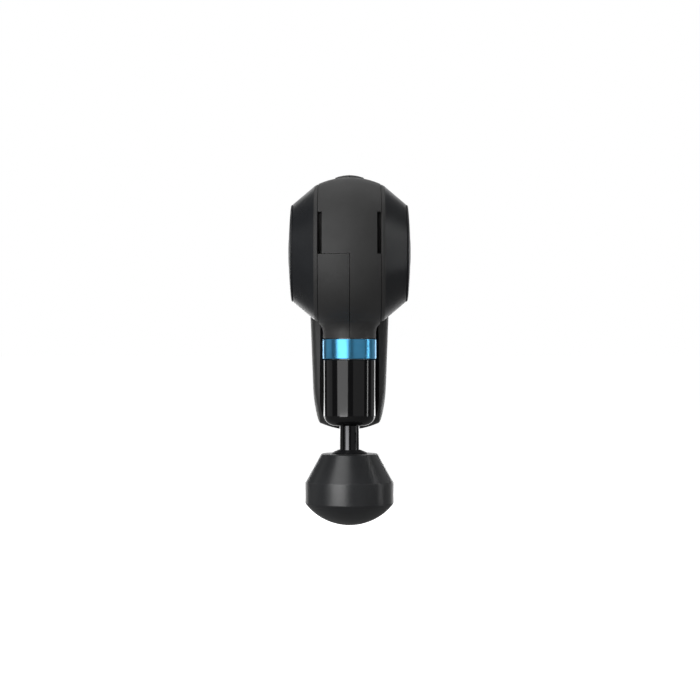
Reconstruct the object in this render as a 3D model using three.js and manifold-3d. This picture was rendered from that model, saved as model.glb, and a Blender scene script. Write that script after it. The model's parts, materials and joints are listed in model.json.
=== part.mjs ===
// A percussive massage gun: a loop handle, a drum that turns between two bells on the handle, and an arm on the drum
// that drives a massage head through a crank and a Scotch yoke. Millimetres, +Z up.
// Everything is placed from the arm's pivot: X runs across, Y to the back, Z up, and the arm hangs down -Z at rest.
import * as THREE from "three";
import { mergeVertices } from "three/addons/utils/BufferGeometryUtils.js";
import Module from "manifold-3d";

const wasm = await Module();
wasm.setup();

// ---------------------------------------------------------------- driving dimensions

const PIVOT = { y: -41.3, z: 163 }; // the pivot in the part's frame, whose origin is the bottom centre of its box
const GAP = 0.3; // between neighbouring pieces
const WALL = 2.6; // of the handle's shells

const DRUM = { radius: 45.4, half: 18.3, cavity: 43, cavityHalf: 16.6, hole: 24.5, collar: 27, collarEnd: 22.3 };
const POCKET = { radius: DRUM.radius + 0.5, half: DRUM.half + GAP, groove: 19, grooveTop: -30 };
const VENT = { inner: 16, back: -30, top: 22.4 };
const SPLIT = -2.4; // height of the step where the arm's shells meet, and of the vents' lower ends
const NECK = { end: -51.1, radius: 15.9, bore: 12.6, fillet: 8 };
const RING = { radius: 16.2, top: -51.4, bottom: -63.4, edge: 0.4 };
const BARREL = { top: -63.7, topRadius: 15.7, shoulder: -97, shoulderRadius: 15.5, nose: -103.3, hole: 6.9 };
const TUBE = { outer: 12.2, inner: 10.4, top: -41.2, bottom: -95 };
const SHAFT = { radius: 5.85, top: -28.8, tip: -139.5, ringAt: -132, neck: 4.2 };
const PLATE = { radius: 39.6, motorAt: 11.6, springAt: -13.6, thick: 2 }; // discs across the drum
const CRANK = { throw: 8, pin: 2.9, bearing: 5.5, slack: 1.7 };
const YOKE = { half: 3.9, wide: 19, high: 12.2, bossTop: -26, bossBottom: -36, boss: 8.6, pinAt: -32.3 };
const HEAD = { top: -120.1, topRadius: 16.9, beltTop: -136.9, belt: 26.6, beltBottom: -149.8, bottom: -163 };
const COLLAR = { top: -117.8, topRadius: 6.7, footRadius: 11.4, tube: 8.4, bottom: -142 };
const BELL = { rim: 41.3, shoulder: 40.3, shoulderAt: 20.6, edge: 29.4, edgeAt: 33.6, bore: 29.9, plate: 20.8 };
const CAP = { face: 36.4, underside: 33.9, radius: 29.1, domeRadius: 270, inner: 34, spigot: 25.9, spigotAt: 31.6 };
const BUTTON = { radius: 9, flange: 11, stem: 3.2, plateAt: -25.5, dogs: 17 };
const BATTERY = { z: 27.8, pitch: 9.7, radius: 10.5, cavity: 44.7, front: 47, rear: 113.6, cell: 9.2, cellEnd: 113.3 };
const END_CAP = { front: 114, recess: 15, recessEnd: 120, low: 2, high: 31, latchY: 116.8, latchZ: 20 };
const STRIP = { half: 8.6, deep: 1.2, proud: 0.15, front: 9, rear: 76 };
const PANEL = { front: 78, rear: 108, buttonAt: 100, button: 5.5, ledFront: 82, ledRear: 92 };
const BOARD = { bottom: 39.6, top: 41.2, front: 60, rear: 108 };
const SCREWS = [
  [29, -56],
  [34, -92],
  [89.4, -40],
  [104.5, -9],
];

// The handle seen from the side, as belts round circles [y, z, radius].
const OUTLINE = [
  [7, 43.6, 4],
  [112, 31.6, 16],
  [106, 2, 22],
  [50, -82.5, 24],
  [19, -90.5, 16],
];
const OPENING = [
  [50, 1.5, 13],
  [91, 4.5, 10],
  [47, -65, 10],
];
const LOOP_CENTRE = [62, -18];
const CROWN = { radius: 23.5, top: 47.6, edge: 0.84 }; // of the top bar

// ---------------------------------------------------------------- materials

const material = (color, roughness, metalness = 0) => new THREE.MeshStandardMaterial({ color, roughness, metalness });
const M = {
  housing: material(0x3a3a3a, 0.55),
  gloss: material(0x0c0c0d, 0.12),
  accent: material(0x1f7fb8, 0.25, 1),
  shaft: material(0x141416, 0.18, 0.6),
  foam: material(0x33363a, 0.75),
  rubber: material(0x161616, 0.8),
  polymer: material(0xd8d6cc, 0.5),
  steel: material(0x9a9ca0, 0.35, 1),
  bronze: material(0xa8783c, 0.4, 1),
  copper: material(0xb4623a, 0.35, 1),
  board: material(0x14482e, 0.5),
  cell: material(0x2f6f9e, 0.4),
  lens: material(0xdfe8ee, 0.3),
};

// ---------------------------------------------------------------- solids and booleans

// A geometry as a manifold-3d solid, turned the right way out.
function solid(geometry) {
  const bare = geometry.index ? geometry.toNonIndexed() : geometry.clone();
  bare.deleteAttribute("normal");
  bare.deleteAttribute("uv");
  const merged = mergeVertices(bare, 1e-4);
  const vertProperties = merged.attributes.position.array;
  const triVerts = new Uint32Array(merged.index.array);
  const made = new wasm.Manifold(new wasm.Mesh({ numProp: 3, vertProperties, triVerts }));
  if (made.volume() >= 0) return made;
  for (let i = 0; i < triVerts.length; i += 3) {
    [triVerts[i], triVerts[i + 1]] = [triVerts[i + 1], triVerts[i]];
  }
  return new wasm.Manifold(new wasm.Mesh({ numProp: 3, vertProperties, triVerts }));
}

// A manifold-3d solid as a geometry.
function geometryOf(made) {
  const mesh = made.getMesh();
  const geometry = new THREE.BufferGeometry();
  geometry.setAttribute("position", new THREE.BufferAttribute(mesh.vertProperties, 3));
  geometry.setIndex(new THREE.BufferAttribute(mesh.triVerts, 1));
  geometry.computeVertexNormals();
  return geometry;
}

const cutAll = (body, tools) => tools.reduce((left, tool) => left.subtract(tool), body);
const joinAll = (solids) => solids.reduce((sum, next) => sum.add(next));

// A box from its lowest to its highest corner.
function box(low, high) {
  const size = high.map((h, i) => h - low[i]);
  const geometry = new THREE.BoxGeometry(...size);
  geometry.translate(...low.map((l, i) => l + size[i] / 2));
  return solid(geometry);
}

// A profile of [radius, height] turned about the Z axis, or of [radius, x] turned about the X axis.
function turned(profile, segments = 24) {
  const points = profile.map(([r, h]) => new THREE.Vector2(r, h));
  return new THREE.LatheGeometry(points, segments).rotateX(Math.PI / 2);
}
const aboutZ = (profile, segments) => solid(turned(profile, segments));
const aboutX = (profile, segments) => solid(turned(profile, segments).rotateY(Math.PI / 2));

// The profiles of a ring and of a rod.
const ring = (inner, outer, from, to) => [
  [inner, from],
  [outer, from],
  [outer, to],
  [inner, to],
  [inner, from],
];
const rod = (radius, from, to) => [
  [0, from],
  [radius, from],
  [radius, to],
  [0, to],
];

// The point at an angle, in degrees, on a circle.
function polar(radius, degrees, cu = 0, cv = 0) {
  const a = THREE.MathUtils.degToRad(degrees);
  return [cu + radius * Math.cos(a), cv + radius * Math.sin(a)];
}

// Points of an arc, and of a full circle.
const arc = (cu, cv, radius, from, to, steps) =>
  Array.from({ length: steps + 1 }, (_, i) => polar(radius, from + ((to - from) * i) / steps, cu, cv));
const circle = (cu, cv, radius, sides = 16) => arc(cu, cv, radius, 0, 360 - 360 / sides, sides - 1);
const rectangle = (u, v) => [
  [-u, -v],
  [u, -v],
  [u, v],
  [-u, v],
];

// An outline with holes, extruded along the drawing plane's normal.
function extruded(outline, depth, holes = []) {
  const shape = new THREE.Shape(outline.map((p) => new THREE.Vector2(...p)));
  shape.holes = holes.map((hole) => new THREE.Path(hole.map((p) => new THREE.Vector2(...p))));
  return new THREE.ExtrudeGeometry(shape, { depth, bevelEnabled: false });
}

// An outline of [y, z] points from x = from to x = to: the drawing's u, v and depth become Y, Z and X.
const axis = (x, y, z) => new THREE.Vector3(x, y, z);
const YZX = new THREE.Matrix4().makeBasis(axis(0, 1, 0), axis(0, 0, 1), axis(1, 0, 0));
const alongX = (outline, from, to, holes) =>
  solid(extruded(outline, to - from, holes).applyMatrix4(YZX).translate(from, 0, 0));

// An outline of [x, z] points from y = from to y = to.
const alongY = (outline, from, to) =>
  solid(
    extruded(outline, to - from)
      .rotateX(Math.PI / 2)
      .translate(0, to, 0),
  );

// A round wire along a curve.
function wire(curve, radius, steps) {
  const section = new THREE.Shape(circle(0, 0, radius, 6).map((p) => new THREE.Vector2(...p)));
  return solid(new THREE.ExtrudeGeometry(section, { steps, extrudePath: curve }));
}

// The outline of a toothed wheel whose teeth each fill `share` of their pitch.
function toothed(teeth, inner, outer, share) {
  const pitch = 360 / teeth;
  const half = (share * pitch) / 2;
  return Array.from({ length: teeth }, (_, k) => [
    ...arc(0, 0, outer, k * pitch - half, k * pitch + half, 1),
    ...arc(0, 0, inner, k * pitch + half, (k + 1) * pitch - half, 1),
  ]).flat();
}

// ---------------------------------------------------------------- the handle's loop

// How far a belt round circles reaches along the normal `n`, and which circle it touches there.
function touch(circles, n) {
  const reach = ([y, z, r]) => n[0] * y + n[1] * z + r;
  const touched = circles.reduce((best, next) => (reach(next) > reach(best) ? next : best));
  return { reach: reach(touched), point: [touched[0] + touched[2] * n[0], touched[1] + touched[2] * n[1]] };
}

// Points round a belt, `normals` of them, spread over its bends.
const beltPoints = (circles, normals) => circle(0, 0, 1, normals).map((n) => touch(circles, n).point);

// The distance from the loop's centre to a belt grown by `grow`, along a direction.
function distanceTo(circles, grow, direction) {
  const reaches = circle(0, 0, 1, 360).map((n) => {
    const along = n[0] * direction[0] + n[1] * direction[1];
    const offset = n[0] * LOOP_CENTRE[0] + n[1] * LOOP_CENTRE[1];
    return along > 1e-3 ? (touch(circles, n).reach + grow - offset) / along : Infinity;
  });
  return Math.min(...reaches);
}

// Directions from the loop's centre, at least 1 / fineness radians apart in the bends of its outline and its
// opening, and up to eight times that along its straights.
function loopDirections(fineness) {
  const bends = [...beltPoints(OUTLINE, 90), ...beltPoints(OPENING, 90)];
  const angles = bends.map(([y, z]) => Math.atan2(z - LOOP_CENTRE[1], y - LOOP_CENTRE[0])).sort((a, b) => a - b);
  const kept = angles.reduce((list, a) => (a - list.at(-1) < 1 / fineness ? list : [...list, a]), [angles[0]]);
  const filled = kept.flatMap((a, i) => {
    const next = i + 1 < kept.length ? kept[i + 1] : kept[0] + 2 * Math.PI;
    const parts = Math.ceil(((next - a) * fineness) / 8);
    return Array.from({ length: parts }, (_, k) => a + ((next - a) * k) / parts);
  });
  return filled.map((a) => [Math.cos(a), Math.sin(a)]);
}

// Half the handle's width: it tapers down to z = -84 and draws in at its foot.
function halfWidth(z) {
  const taper = THREE.MathUtils.clamp((z + 84) / 46, 0, 1);
  return 20.6 + 1.7 * taper + 1.5 * THREE.MathUtils.smoothstep(z, -101, -82);
}

// The rise of a bar's crown as a share of its thickness.
const crownShare = (z) => 0.098 + 0.172 * THREE.MathUtils.smoothstep(z, -70, 10);

// Half of a bar's section from its outer middle to its inner middle, as shares of the half width and the thickness.
function section(z) {
  const crown = crownShare(z);
  const shoulder = 0.54; // where the bar is widest
  const outer = [0, 0.35, 0.7, 1].map((t) => [CROWN.edge * t, 1 - crown * t * t]);
  const side = [1, 2, 3].map((i) => {
    const [c, s] = polar(1, 30 * i);
    return [CROWN.edge + (1 - CROWN.edge) * s, shoulder + (1 - crown - shoulder) * c];
  });
  const inner = [1, 2, 3].map((i) => {
    const [c, s] = polar(1, 30 * i);
    return [Math.max(c, 0) ** 0.6, shoulder * (1 - s ** 0.75)];
  });
  return [...outer, ...side, ...inner];
}

// The closed loop of the handle, set in by `inset` from its surface.
function loop(inset, fineness = 12) {
  const rings = loopDirections(fineness).map((direction) => {
    const outer = distanceTo(OUTLINE, -inset, direction);
    const inner = distanceTo(OPENING, inset, direction);
    const middle = LOOP_CENTRE[1] + (direction[1] * (outer + inner)) / 2;
    const half = section(middle).map(([u, h]) => {
      const reach = inner + (outer - inner) * h;
      const z = LOOP_CENTRE[1] + direction[1] * reach;
      return [u * (halfWidth(z) - inset), LOOP_CENTRE[0] + direction[0] * reach, z];
    });
    const mirrored = half.slice(1, -1).reverse();
    return [...half, ...mirrored.map(([x, y, z]) => [-x, y, z])];
  });
  const sides = rings[0].length;
  const index = rings.flatMap((_, k) =>
    rings[k].flatMap((_, j) => {
      const next = ((k + 1) % rings.length) * sides;
      const [a, b] = [k * sides + j, k * sides + ((j + 1) % sides)];
      const [c, d] = [next + ((j + 1) % sides), next + j];
      return [a, b, c, a, c, d];
    }),
  );
  const geometry = new THREE.BufferGeometry();
  geometry.setAttribute("position", new THREE.Float32BufferAttribute(rings.flat(2), 3));
  geometry.setIndex(index);
  return solid(geometry);
}

// ---------------------------------------------------------------- shared shapes

const FAR = 400;
const behind = (y) => box([-FAR, y, -FAR], [FAR, FAR, FAR]);
const leftOf = (x) => box([-FAR, -FAR, -FAR], [x, FAR, FAR]);
const rightOf = (x) => box([x, -FAR, -FAR], [FAR, FAR, FAR]);
const onSide = (side, profile) => profile.map(([r, x]) => [r, side * x]); // mirrored for the left

// A ball between two planes across X, centred on the pivot.
function ballBand(radius, half, segments = 36) {
  const reach = THREE.MathUtils.radToDeg(Math.asin(half / radius));
  const bulge = arc(0, 0, radius, -reach, reach, 4);
  return aboutX([[0, -half], ...bulge, [0, half]], segments);
}

// The crown of the top bar, `lift` above it.
function crownLine(lift, half) {
  const radius = CROWN.radius + lift;
  const reach = THREE.MathUtils.radToDeg(Math.asin(half / radius));
  return arc(0, CROWN.top - CROWN.radius, radius, 90 - reach, 90 + reach, 4);
}

// A strip let into the top bar's crown.
const crownStrip = (half, lift, deep, from, to) =>
  alongY([...crownLine(lift, half), ...crownLine(-deep, half).reverse()], from, to);

// Two round cells side by side, wrapped together.
function cellPair(radius, from, to) {
  const { pitch, z } = BATTERY;
  return alongY([...arc(pitch, z, radius, -90, 90, 6), ...arc(-pitch, z, radius, 90, 270, 6)], from, to);
}

// The outside of the drum and its neck between two planes across X, grown by `grow`, with a fillet between them.
function armOutside(grow, half) {
  const centre = NECK.radius + NECK.fillet;
  const drop = Math.sqrt((DRUM.radius + NECK.fillet) ** 2 - centre ** 2);
  const tangent = THREE.MathUtils.radToDeg(Math.atan2(drop, centre));
  const profile = [
    [0, NECK.end],
    [NECK.radius + grow, NECK.end],
    ...arc(centre, -drop, NECK.fillet - grow, 180, 180 - tangent, 4),
    ...arc(0, 0, DRUM.radius + grow, -tangent, 90, 15).slice(1),
  ];
  return aboutZ(profile, 36).intersect(box([-half, -FAR, -FAR], [half, FAR, FAR]));
}

const pocket = ballBand(POCKET.radius, POCKET.half).add(armOutside(GAP, POCKET.half));
const groove = (radius) => aboutZ(rod(radius, -130, POCKET.grooveTop));
const buttonHole = aboutZ(rod(PANEL.button + GAP, 40, 60), 24).translate([0, PANEL.buttonAt, 0]);

// ---------------------------------------------------------------- the assembly

const gun = new THREE.Group();
gun.position.set(0, PIVOT.y, PIVOT.z);

function add(name, made, finish) {
  const mesh = new THREE.Mesh(geometryOf(made), finish);
  mesh.name = name;
  gun.add(mesh);
}

// ---- handle: two shells that each carry a bell, closed by side caps

function handleBody() {
  const bosses = joinAll(SCREWS.map(([y, z]) => aboutX(rod(4.5, -22, 22), 12).translate([0, y, z])));
  const outside = loop(0);
  const hollow = cutAll(loop(WALL, 9), [
    groove(POCKET.groove + WALL),
    ballBand(POCKET.radius + WALL, POCKET.half + WALL, 24),
    bosses,
  ]);
  return cutAll(outside, [
    hollow,
    pocket,
    groove(POCKET.groove),
    aboutX(rod(36.5, -FAR, FAR), 32),
    cellPair(BATTERY.radius + GAP, BATTERY.cavity, END_CAP.front),
    crownStrip(STRIP.half + GAP, 1, STRIP.deep + GAP, STRIP.front - GAP, STRIP.rear + GAP),
    crownStrip(STRIP.half + GAP, 1, STRIP.deep + GAP, PANEL.front - GAP, PANEL.rear + GAP),
    buttonHole,
    behind(END_CAP.front - GAP / 2),
  ]);
}

const bellProfile = [
  [BELL.bore, POCKET.half],
  [BELL.rim, POCKET.half],
  [BELL.shoulder, BELL.shoulderAt],
  [BELL.edge, BELL.edgeAt],
  [CAP.spigot + GAP, BELL.edgeAt],
  [CAP.spigot + GAP, 32],
  [36.8, BELL.plate],
  [BELL.bore, BELL.plate],
  [BELL.bore, POCKET.half],
];

function screwHoles(side) {
  return SCREWS.map(([y, z]) => {
    const clearance = aboutX(rod(1.9, -10, 30), 8);
    const counterbore = aboutX(rod(3.3, 18, 30), 12);
    const tool = side > 0 ? clearance.add(counterbore) : clearance;
    return tool.translate([0, y, z]);
  });
}

function sideCap(side) {
  const dome = (r) => [r, CAP.face - (r * r) / (2 * CAP.domeRadius)];
  const bore = BUTTON.radius + GAP;
  const profile = [
    [bore, CAP.face],
    ...[18, 27.2].map(dome),
    [CAP.radius - 0.5, CAP.underside + 0.6],
    [CAP.radius, CAP.underside],
    [CAP.spigot, CAP.underside],
    [CAP.spigot, CAP.spigotAt],
    [CAP.spigot - 2, CAP.spigotAt],
    [CAP.spigot - 2, CAP.inner],
    [bore, CAP.inner],
    [bore, CAP.face],
  ];
  return aboutX(onSide(side, profile), 32);
}

function pivotBush(side) {
  const profile = [
    [DRUM.collar + GAP, POCKET.half],
    [BELL.bore - GAP, POCKET.half],
    [BELL.bore - GAP, BELL.plate + GAP],
    [33, BELL.plate + GAP],
    [33, DRUM.collarEnd],
    [DRUM.collar + GAP, DRUM.collarEnd],
    [DRUM.collar + GAP, POCKET.half],
  ];
  return aboutX(onSide(side, profile));
}

const body = handleBody();
for (const [name, side] of [
  ["left", -1],
  ["right", 1],
]) {
  const half = side < 0 ? body.intersect(leftOf(-GAP / 2)) : body.intersect(rightOf(GAP / 2));
  const bell = aboutX(onSide(side, bellProfile), 36);
  add(`handle_shell_${name}`, cutAll(half.add(bell), screwHoles(side)), M.housing);
  add(`side_cap_${name}`, sideCap(side), M.housing);
  add(`pivot_bush_${name}`, pivotBush(side), M.polymer);
}
add("side_cap_plug", aboutX(rod(BUTTON.radius, 33, CAP.face)), M.gloss);

const screwProfile = [
  [0, -8],
  [1.5, -8],
  [1.5, 18.3],
  [3, 18.3],
  [3, 20.3],
  [1.4, 20.3],
  [1.4, 19.3],
  [0, 19.3],
];
SCREWS.forEach(([y, z], i) => {
  add(`shell_screw_${i + 1}`, aboutX(screwProfile, 8).translate([0, y, z]), M.steel);
});

// ---- top bar: grip strip, control panel, board, terminal and the lead between them

const strip = crownStrip(STRIP.half, STRIP.proud, STRIP.deep, STRIP.front, STRIP.rear);
add("grip_strip", strip.subtract(pocket), M.rubber);
const ledHole = box([-1.5, PANEL.ledFront, 40], [1.5, PANEL.ledRear, 60]);
const panel = crownStrip(STRIP.half, 0, STRIP.deep, PANEL.front, PANEL.rear);
add("control_panel", cutAll(panel, [buttonHole, ledHole]), M.gloss);
add("led_window", crownStrip(1.2, 0, STRIP.deep, PANEL.ledFront + GAP, PANEL.ledRear - GAP), M.lens);
add("power_button", aboutZ(rod(PANEL.button, 43.9, CROWN.top), 24).translate([0, PANEL.buttonAt, 0]), M.rubber);
add("control_board", box([-10, BOARD.front, BOARD.bottom], [10, BOARD.rear, BOARD.top]), M.board);
const switchTop = BOARD.top + 2;
add(
  "button_switch",
  box([-3, PANEL.buttonAt - 3, BOARD.top + GAP], [3, PANEL.buttonAt + 3, switchTop]),
  M.gloss,
);
add("battery_terminal", box([-15, 45, 21], [15, 46.6, 35]), M.gloss);
const leadPath = new THREE.CatmullRomCurve3([
  axis(6, 59.6, 40.4),
  axis(6, 54, 40.7),
  axis(6, 49, 40.4),
  axis(6, 45.9, 38.4),
  axis(6, 45.8, 35.4),
]);
add("board_lead", wire(leadPath, 0.8, 12), M.rubber);

// ---- battery: slides out of the top bar to the back, with the loop's rear corner as its end cap

const batteryCase = cellPair(BATTERY.radius, BATTERY.front, BATTERY.rear);
const caseInside = cellPair(BATTERY.cell + 0.5, BATTERY.front + 1, BATTERY.rear + 1);
add("battery_case", batteryCase.subtract(caseInside), M.gloss);
for (const [name, side] of [
  ["left", -1],
  ["right", 1],
]) {
  const cell = aboutZ(rod(BATTERY.cell, BATTERY.cellEnd - 65, BATTERY.cellEnd), 20).rotate([-90, 0, 0]);
  add(`battery_cell_${name}`, cell.translate([side * BATTERY.pitch, 0, BATTERY.z]), M.cell);
}

function latchSpan(grow, from, to) {
  const outline = rectangle(2 + grow, 6 + grow).map(([y, z]) => [y + END_CAP.latchY, z + END_CAP.latchZ]);
  return alongX(outline, from, to);
}
const recessLow = [-END_CAP.recess, END_CAP.front, END_CAP.low];
const recess = box(recessLow, [END_CAP.recess, END_CAP.recessEnd, END_CAP.high]);
const endCap = loop(0).intersect(behind(END_CAP.front + GAP / 2));
add("battery_end_cap", cutAll(endCap, [recess, latchSpan(GAP, -FAR, FAR)]), M.housing);
const latch = latchSpan(0, 13.7, FAR).intersect(loop(0)).add(latchSpan(0.7, 12.5, 14.7));
add("battery_latch_right", latch, M.rubber);
add("battery_latch_left", latch.mirror([1, 0, 0]), M.rubber);

// ---- arm: two shells round the drum and the neck, split in a step under the left vent

function armBody() {
  const collars = [-1, 1].map((side) => aboutX(onSide(side, ring(DRUM.hole, DRUM.collar, 17, DRUM.collarEnd)), 28));
  const vent = box([VENT.inner, -50, SPLIT], [DRUM.half + 1, VENT.back, VENT.top]);
  return cutAll(joinAll([armOutside(0, DRUM.half), ...collars]), [
    ballBand(DRUM.cavity, DRUM.cavityHalf, 24),
    aboutZ(rod(NECK.bore, -60, -20)),
    aboutX(rod(DRUM.hole, -30, 30), 28),
    vent,
    vent.mirror([1, 0, 0]),
  ]);
}

const arm = armBody();
const lowerLeft = (grow) => box([-FAR, -FAR, -FAR], [grow, FAR, SPLIT + grow]);
add("arm_shell_left", arm.intersect(lowerLeft(-GAP / 2)), M.housing);
add("arm_shell_right", arm.subtract(lowerLeft(GAP / 2)), M.housing);

const ringProfile = [
  [NECK.bore, RING.bottom],
  [RING.radius - RING.edge, RING.bottom],
  [RING.radius, RING.bottom + RING.edge],
  [RING.radius, RING.top - RING.edge],
  [RING.radius - RING.edge, RING.top],
  [NECK.bore, RING.top],
  [NECK.bore, RING.bottom],
];
add("accent_ring", aboutZ(ringProfile, 28), M.accent);

const noseDepth = BARREL.shoulder - BARREL.nose;
const nose = [0, 25, 50, 75, 90].map((a) => {
  const [c, s] = polar(1, a);
  return [8.4 + (BARREL.shoulderRadius - 8.4) * c, BARREL.shoulder - noseDepth * s];
});
const barrelProfile = [
  [NECK.bore, BARREL.top],
  [BARREL.topRadius, BARREL.top],
  ...nose,
  [BARREL.hole, BARREL.nose],
  [BARREL.hole, BARREL.nose + 2.4],
  [TUBE.inner, BARREL.nose + 3],
  [NECK.bore, BARREL.shoulder + 1],
  [NECK.bore, BARREL.top],
];
add("barrel", aboutZ(barrelProfile, 28), M.gloss);
add("guide_tube", aboutZ(ring(TUBE.inner, TUBE.outer, TUBE.bottom, TUBE.top)), M.steel);
const bushing = (from, to) => aboutZ(ring(SHAFT.radius + GAP, TUBE.inner - GAP, from, to), 20);
add("shaft_bushing_upper", bushing(-57, -46.5), M.bronze);
add("shaft_bushing_lower", bushing(-94, -82), M.bronze);
add("nose_seal", aboutZ(ring(SHAFT.radius + GAP, 9.6, -99.6, -95.4), 20), M.rubber);

// ---- arm release: a button in the left cap whose lock plate faces the index disc on the drum

const indexCup = [
  [5, -29],
  [25, -29],
  [25, -DRUM.collarEnd - GAP],
  [23.4, -DRUM.collarEnd - GAP],
  [23.4, -27.4],
  [5, -27.4],
  [5, -29],
];
const indexHoles = [30, 90, 150, 210, 270, 330].map((angle) => {
  const [y, z] = polar(BUTTON.dogs, angle);
  return aboutX(rod(2.1, -30, -26), 8).translate([0, y, z]);
});
add("index_disc", cutAll(aboutX(indexCup), indexHoles), M.steel);

const dogs = [90, 210, 330].map((angle) => {
  const [y, z] = polar(BUTTON.dogs, angle);
  return aboutX(rod(1.7, -27.1, BUTTON.plateAt + 0.5), 8).translate([0, y, z]);
});
const lockPlate = aboutX(ring(2.8, 20, BUTTON.plateAt, BUTTON.plateAt + 1.5), 24);
add("lock_plate", joinAll([lockPlate, ...dogs]), M.steel);
const releaseProfile = [
  [0, -CAP.face],
  [BUTTON.radius - 0.6, -CAP.face],
  [BUTTON.radius, -CAP.face + 0.6],
  [BUTTON.radius, -33.7],
  [BUTTON.flange, -33.7],
  [BUTTON.flange, -32.7],
  [BUTTON.stem, -32.7],
  [BUTTON.stem, BUTTON.plateAt - GAP],
  [2.5, BUTTON.plateAt - GAP],
  [2.5, -23.7],
  [3.6, -23.7],
  [3.6, -23],
  [0, -23],
];
add("release_button", aboutX(releaseProfile, 20), M.gloss);
const springSeat = aboutX(ring(9.5, PLATE.radius, PLATE.springAt, PLATE.springAt + PLATE.thick), 28);
add("spring_seat", springSeat, M.steel);

class Coil extends THREE.Curve {
  getPoint(t) {
    const [y, z] = polar(11, 720 * t);
    return axis(PLATE.springAt - 0.9 - 5.4 * t, y, z);
  }
}
add("release_spring", wire(new Coil(), 0.6, 20), M.steel);

// ---- motor in the right bell, carried by a bracket in the drum

const bracketWindows = [0, 60, 120, 180, 240, 300].map((angle) => circle(...polar(30, angle), 6, 8));
const bracketOutline = circle(0, 0, PLATE.radius, 28);
const bracketEnd = PLATE.motorAt + PLATE.thick;
const bracketHoles = [circle(0, 0, 6), ...bracketWindows];
add("motor_bracket", alongX(bracketOutline, PLATE.motorAt, bracketEnd, bracketHoles), M.steel);
add("motor_bearing", aboutX(ring(2.8, 5.7, PLATE.motorAt, bracketEnd), 16), M.steel);
add("stator_core", alongX(toothed(9, 9, 16.6, 0.45), 13.9, 24, [circle(0, 0, 5)]), M.steel);
const windings = alongX(toothed(9, 9, 15.6, 0.36), 14.6, 25.4).rotate([20, 0, 0]);
add("stator_winding", cutAll(windings, [aboutX(rod(9.6, 0, 24.4)), aboutX(rod(6, 0, 30), 16)]), M.copper);

// ---- crank: everything that turns with the motor

const rotorBell = [
  [2.8, 27],
  [19.2, 27],
  [19.2, 14.2],
  [21.5, 14.2],
  [21.5, 28.6],
  [2.8, 28.6],
  [2.8, 27],
];
const shaftHole = circle(0, 0, 2.8, 12);
const crankWeb = [...arc(0, 0, 12.5, -80, 80, 8), ...arc(0, 0, 15.5, 100, 260, 8)];
const pinHole = circle(CRANK.throw, 0, 2.3, 12);
const crankPin = [
  [0, -5.8],
  [4, -5.8],
  [4, -4.5],
  [CRANK.pin, -4.5],
  [CRANK.pin, 5.3],
  [2, 5.3],
  [2, 10],
  [0, 10],
];
const crankBearing = ring(CRANK.pin + GAP, CRANK.bearing, -4.1, 4.1);
add("motor_shaft", aboutX(rod(2.5, 5.6, 33), 12), M.steel);
add("rotor_bell", aboutX(rotorBell, 24), M.steel);
add("rotor_magnets", aboutX(ring(17.4, 18.9, 14.8, 24.6), 24), M.gloss);
add("cooling_fan", alongX(toothed(11, 7, 19.5, 0.3), 29, 32.6, [shaftHole]), M.polymer);
add("crank_disc", alongX(crankWeb, 5.6, 10.6, [shaftHole, pinHole]), M.steel);
add("crank_pin", aboutX(crankPin, 12).translate([0, CRANK.throw, 0]), M.steel);
add("crank_bearing", aboutX(crankBearing, 16).translate([0, CRANK.throw, 0]), M.steel);

// ---- percussion shaft: the yoke turns the crank's circle into a straight stroke

function yokeBody() {
  const slot = rectangle(CRANK.throw + CRANK.bearing + 0.6, CRANK.bearing + CRANK.slack + GAP);
  const frame = alongX(rectangle(YOKE.wide, YOKE.high), -YOKE.half, YOKE.half, [slot]);
  const stem = box([-YOKE.half, -7, YOKE.bossTop - 1], [YOKE.half, 7, -YOKE.high + 1]);
  const boss = aboutZ(rod(YOKE.boss, YOKE.bossBottom, YOKE.bossTop), 24);
  const bore = aboutZ(rod(SHAFT.radius + GAP, YOKE.bossBottom - 1, SHAFT.top + GAP), 24);
  return cutAll(joinAll([frame, stem, boss]), [bore, crossHole]);
}

const crossHole = aboutX(rod(1.8, -12, 12), 12).translate([0, 0, YOKE.pinAt]);
const shaftProfile = [
  [0, SHAFT.tip],
  [SHAFT.radius - 0.8, SHAFT.tip],
  [SHAFT.radius, SHAFT.tip + 0.8],
  [SHAFT.radius, SHAFT.ringAt - 1.1],
  [SHAFT.neck, SHAFT.ringAt - 1.1],
  [SHAFT.neck, SHAFT.ringAt + 1.1],
  [SHAFT.radius, SHAFT.ringAt + 1.1],
  [SHAFT.radius, SHAFT.top],
  [0, SHAFT.top],
];
add("yoke", yokeBody(), M.steel);
add("percussion_shaft", aboutZ(shaftProfile, 18).subtract(crossHole), M.shaft);
add("yoke_pin", aboutX(rod(1.5, -8.2, 8.2), 12).translate([0, 0, YOKE.pinAt]), M.steel);
const oRing = new THREE.TorusGeometry(5.2, 0.75, 6, 16).translate(0, 0, SHAFT.ringAt);
add("shaft_o_ring", solid(oRing), M.rubber);

// ---- massage head: a foam ball on a socket that pulls off the shaft

const socketProfile = [
  [SHAFT.radius + GAP, COLLAR.top],
  [COLLAR.topRadius, COLLAR.top],
  [COLLAR.footRadius, HEAD.top + GAP],
  [COLLAR.tube, HEAD.top + GAP],
  [COLLAR.tube, COLLAR.bottom],
  [0, COLLAR.bottom],
  [0, SHAFT.tip - GAP],
  [SHAFT.radius + GAP, SHAFT.tip - GAP],
  [SHAFT.radius + GAP, COLLAR.top],
];
add("head_socket", aboutZ(socketProfile), M.foam);

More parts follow.
